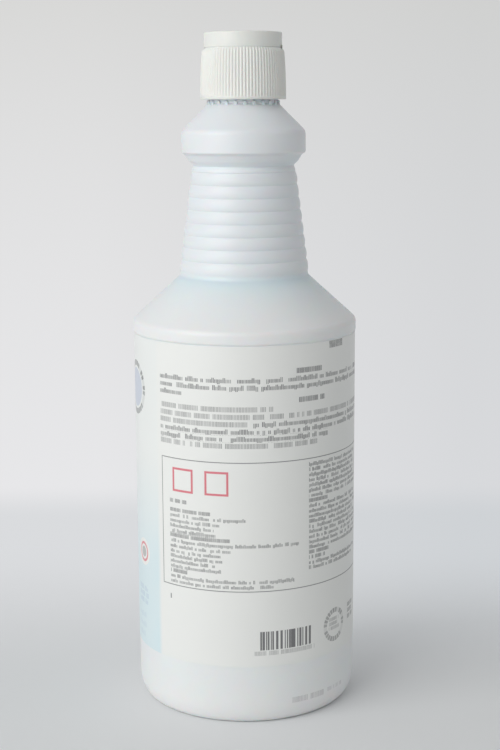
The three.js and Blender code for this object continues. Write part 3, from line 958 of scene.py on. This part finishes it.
class BOTTLE_OT_cap(bpy.types.Operator):
    """Builds the ribbed screw cap with its deck, spout and thumb scoop"""

    bl_idname = "bottle.cap"
    bl_label = "Screw cap"

    def execute(self, context):
        s = settings(context).cap
        self.skirt(s)
        self.spout(s)
        self.inner_thread(s, settings(context).bottle)
        return {"FINISHED"}

    def radius(self, s, z):
        """The skirt's outer radius at a height."""
        low = CAP_BOX[0][2]
        share = (z - low) / (s.deck_top - low)
        return CAP_BOX[1][0] + (s.top_radius - CAP_BOX[1][0]) * share ** 2.2

    def skirt(self, s):
        """The ribbed skirt: a ring of vertices lifted level by level, then grooved."""
        low = CAP_BOX[0][2]
        top = s.deck_top
        crown = top - 1.7 * MM
        floor = top - s.scoop_height
        rim = low + s.rim_height
        first = rim + 0.35 * MM
        levels = [(low, 0.12, 0.0, False), (low + 0.12 * MM, 0.0, 0.0, False), (rim, 0.0, 0.0, False)]
        levels += [(first + (crown - first) * k / 6, 0.0, 1.0, False) for k in range(7)]
        levels += [(crown + 0.5 * MM, 0.13, 1.0, False), (crown + 1.0 * MM, 0.33, 0.85, False),
                   (floor, 0.42, 0.68, False), (floor, 0.42, 0.68, True),
                   (crown + 1.35 * MM, 0.5, 0.5, True), (top, 0.75, 0.0, True)]
        steps = s.ribs * 8
        bm = bmesh.new()
        ring = bmesh.ops.create_circle(bm, segments=steps, radius=1.0)["verts"]
        edges = [e for e in bm.edges]
        bmesh.ops.delete(bm, geom=bm.faces[:], context="FACES_ONLY")
        for index, (z, inset, ribbed, scooped) in enumerate(levels):
            if index:
                made = bmesh.ops.extrude_edge_only(bm, edges=edges)["geom"]
                ring = [g for g in made if isinstance(g, bmesh.types.BMVert)]
                edges = [g for g in made if isinstance(g, bmesh.types.BMEdge)
                         and g.verts[0] in ring and g.verts[1] in ring]
            base = self.radius(s, z) - inset * MM
            for vert in ring:
                angle = math.atan2(vert.co.y, vert.co.x)
                wave = 0.5 - 0.5 * math.cos(angle * s.ribs)
                radius = base - s.rib_depth * ribbed * wave ** 1.4
                vert.co = (radius * math.cos(angle), radius * math.sin(angle), z)
                if scooped:
                    vert.co.x = max(vert.co.x, s.scoop_depth - s.lid_radius)
        # The deck, the bore and the skirt's foot close the shell
        edge = self.radius(s, top) - 0.75 * MM
        seat = top + 0.12 * MM
        spin_outline(bm, [
            (s.spout_radius, top), (s.lid_radius - 1.2 * MM, top), (s.lid_radius - 1.1 * MM, seat),
            (s.lid_radius - 0.14 * MM, seat), (s.lid_radius - 0.1 * MM, top), (edge, top),
        ], steps)
        for vert in bm.verts:
            if vert.co.z > top - 1e-6:
                vert.co.x = max(vert.co.x, s.scoop_depth - s.lid_radius)
        deck = top - s.deck_thickness
        under = fillet([
            (s.orifice_radius, deck, 0),
            (s.bore_radius, deck, 0.3 * MM),
            (s.bore_radius, low + s.mouth_depth, 0.3 * MM),
            (s.mouth_radius, low, 0),
            (self.radius(s, low) - 0.12 * MM, low, 0),
        ])
        spin_outline(bm, under, steps)
        clean(bm)
        finish_piece(bm, "ribbed_skirt", *CAP, ("cap_body",), 50)

    def spout(self, s):
        """The small pouring spout with its hole."""
        bm = bmesh.new()
        deck = s.deck_top - s.deck_thickness
        top = s.deck_top + s.spout_height
        outline = fillet([
            (s.orifice_radius, deck, 0),
            (s.orifice_radius, top, 0.25 * MM),
            (s.spout_top_radius, top, 0.4 * MM),
            (s.spout_radius, s.deck_top + 0.2 * MM, 0.6 * MM),
            (s.spout_radius + 0.8 * MM, s.deck_top - 0.05 * MM, 0),
        ])
        spin_outline(bm, outline, 72)
        clean(bm)
        finish_piece(bm, "pouring_spout", *CAP)

    def inner_thread(self, s, neck):
        """The cap's own thread inside its bore, half a pitch from the neck's."""
        middle = BOTTLE_BOX[1][2] - THREAD_DROP + neck.thread_pitch / 2
        start = middle - THREAD_TURNS * neck.thread_pitch
        thread_ridge("cap_thread", CAP, s.bore_radius + 0.2 * MM, neck.root_radius + 0.35 * MM,
                     start, neck.thread_pitch)


class BOTTLE_OT_lid(bpy.types.Operator):
    """Builds the flip lid with its plug, and the hinge film"""

    bl_idname = "bottle.lid"
    bl_label = "Flip lid"

    STEPS = 144

    def execute(self, context):
        s = settings(context).cap
        bottom, top = LID_BOX[0][2], LID_BOX[1][2]
        under = top - 1.3 * MM
        bm = bmesh.new()
        outline = fillet([
            (0.0, under - 3 * MM, 0),
            (1.1 * MM, under - 3 * MM, 0.3 * MM),
            (s.orifice_radius - 0.3 * MM, under, 0.2 * MM),
            (s.lid_radius - s.lid_wall, under, 0.4 * MM),
            (s.lid_radius - s.lid_wall, bottom, 0.15 * MM),
            (s.lid_radius, bottom, 0.06 * MM),
            (s.lid_radius, top, s.lid_edge),
            (0.0, top, 0),
        ], 8)
        spin_outline(bm, outline, self.STEPS)
        clean(bm)
        finish_piece(bm, "lid_shell", *LID, ("flip_lid",))
        self.film(s)
        return {"FINISHED"}

    def film(self, s):
        """The living hinge: a thin strip from the deck's edge to the lid's wall."""
        bm = bmesh.new()
        bmesh.ops.create_cube(bm, size=1.0)
        bmesh.ops.scale(bm, verts=bm.verts, vec=(s.film, s.hinge_width, 1.6 * MM))
        upright = [e for e in bm.edges if abs(e.verts[0].co.z - e.verts[1].co.z) > 1.0 * MM]
        bmesh.ops.subdivide_edges(bm, edges=upright, cuts=19, use_grid_fill=True)
        bmesh.ops.translate(bm, verts=bm.verts, vec=(s.lid_radius - 0.05 * MM, 0.0, HINGE_Z))
        clean(bm)
        film = finish_piece(bm, "hinge_film", None, "moulded_cap_plastic", "")
        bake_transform(film)


class BOTTLE_OT_stage(bpy.types.Operator):
    """Sets the floor, the backdrop, the soft lamps and the camera of the photo"""

    bl_idname = "bottle.stage"
    bl_label = "Stage"

    def execute(self, context):
        colours = settings(context).colours
        self.sweep(colours)
        self.lamps(context)
        self.camera(context)
        context.scene.view_settings.view_transform = "Standard"
        return {"FINISHED"}

    def sweep(self, colours):
        """One curved sheet for the floor and backdrop."""
        bm = bmesh.new()
        fold, bend, half, drop = 0.9, 0.8, 4.0, 0.0001
        profile = [(-3.0, 0.0), (0.1, 0.0), (0.4, 0.0)]
        profile += [(fold + bend * math.sin(a), bend - bend * math.cos(a))
                    for a in (math.radians(90 * k / 24) for k in range(25))]
        profile.append((fold + bend, 3.0))
        verts = [bm.verts.new((-half, y, z - drop)) for y, z in profile]
        edges = [bm.edges.new(pair) for pair in zip(verts, verts[1:])]
        made = bmesh.ops.extrude_edge_only(bm, edges=edges)["geom"]
        moved = [g for g in made if isinstance(g, bmesh.types.BMVert)]
        bmesh.ops.translate(bm, verts=moved, vec=(2 * half, 0.0, 0.0))
        clean(bm)
        stage_paper(colours)
        sheet = finish_piece(bm, "paper_sweep", None, "stage_paper", "")

    def lamps(self, context):
        """A big soft window lamp from the left, a faint fill and a pale world."""
        for name, (place, aim, size, power, tone) in LAMPS.items():
            data = bpy.data.lights.new(name, "AREA")
            data.size = size
            data.energy = power
            data.color = tone
            lamp = bpy.data.objects.new(name, data)
            context.collection.objects.link(lamp)
            lamp.location = place
            direction = Vector(aim) - Vector(place)
            lamp.rotation_euler = direction.to_track_quat("-Z", "Y").to_euler()
        world = bpy.data.worlds.new("pale_room")
        world.use_nodes = True
        nodes = Nodes(world.node_tree)
        background = world.node_tree.nodes["Background"].inputs
        shade = nodes.mix(nodes.seen(), rgba(ROOM_LIGHT), rgba(ROOM_SHADE))
        nodes.feed(background["Color"], shade)
        background["Strength"].default_value = 1.0
        context.scene.world = world

    def camera(self, context):
        """The photo's camera: pitched down, with a slight roll."""
        yaw, pitch, roll = (math.radians(a) for a in CAMERA_TURNS)
        ahead = Vector((math.sin(yaw) * math.cos(pitch), math.cos(yaw) * math.cos(pitch),
                        -math.sin(pitch)))
        right = Vector((math.cos(yaw), -math.sin(yaw), 0.0))
        down = ahead.cross(right)
        right, down = (right * math.cos(roll) + down * math.sin(roll),
                       down * math.cos(roll) - right * math.sin(roll))
        data = bpy.data.cameras.new("photo_camera")
        data.sensor_fit = "VERTICAL"
        data.sensor_height = 36.0
        data.lens = CAMERA_LENS
        camera = bpy.data.objects.new("photo_camera", data)
        context.collection.objects.link(camera)
        turn = Matrix((right, -down, -ahead)).transposed()
        camera.matrix_world = Matrix.Translation(CAMERA_PLACE) @ turn.to_4x4()
        context.scene.camera = camera


class BOTTLE_PT_panel(bpy.types.Panel):
    """The bottle's sizes, colours and build steps"""

    bl_idname = "BOTTLE_PT_panel"
    bl_label = "Cleaner bottle"
    bl_space_type = "VIEW_3D"
    bl_region_type = "UI"
    bl_category = "Bottle"

    def draw(self, context):
        layout = self.layout
        values = settings(context)
        for operator in OPERATORS:
            layout.operator(operator.bl_idname)
        for group in (values.bottle, values.cap, values.colours):
            column = layout.column()
            for key in group.__annotations__:
                column.prop(group, key)


OPERATORS = (
    BOTTLE_OT_finishes,
    BOTTLE_OT_shell,
    BOTTLE_OT_label,
    BOTTLE_OT_fill,
    BOTTLE_OT_cap,
    BOTTLE_OT_lid,
    BOTTLE_OT_stage,
)
CLASSES = (BottleSizes, CapSizes, FinishColours, BottleSettings, *OPERATORS, BOTTLE_PT_panel)


def register():
    for cls in CLASSES:
        bpy.utils.register_class(cls)
    bpy.types.Scene.cleaner_bottle = PointerProperty(type=BottleSettings)


def unregister():
    del bpy.types.Scene.cleaner_bottle
    for cls in reversed(CLASSES):
        bpy.utils.unregister_class(cls)


def main():
    """Registers the add-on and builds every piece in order."""
    register()
    bpy.ops.bottle.finishes()
    bpy.ops.bottle.shell()
    bpy.ops.bottle.label()
    bpy.ops.bottle.fill()
    bpy.ops.bottle.cap()
    bpy.ops.bottle.lid()
    bpy.ops.bottle.stage()


if __name__ == "__main__":
    main()
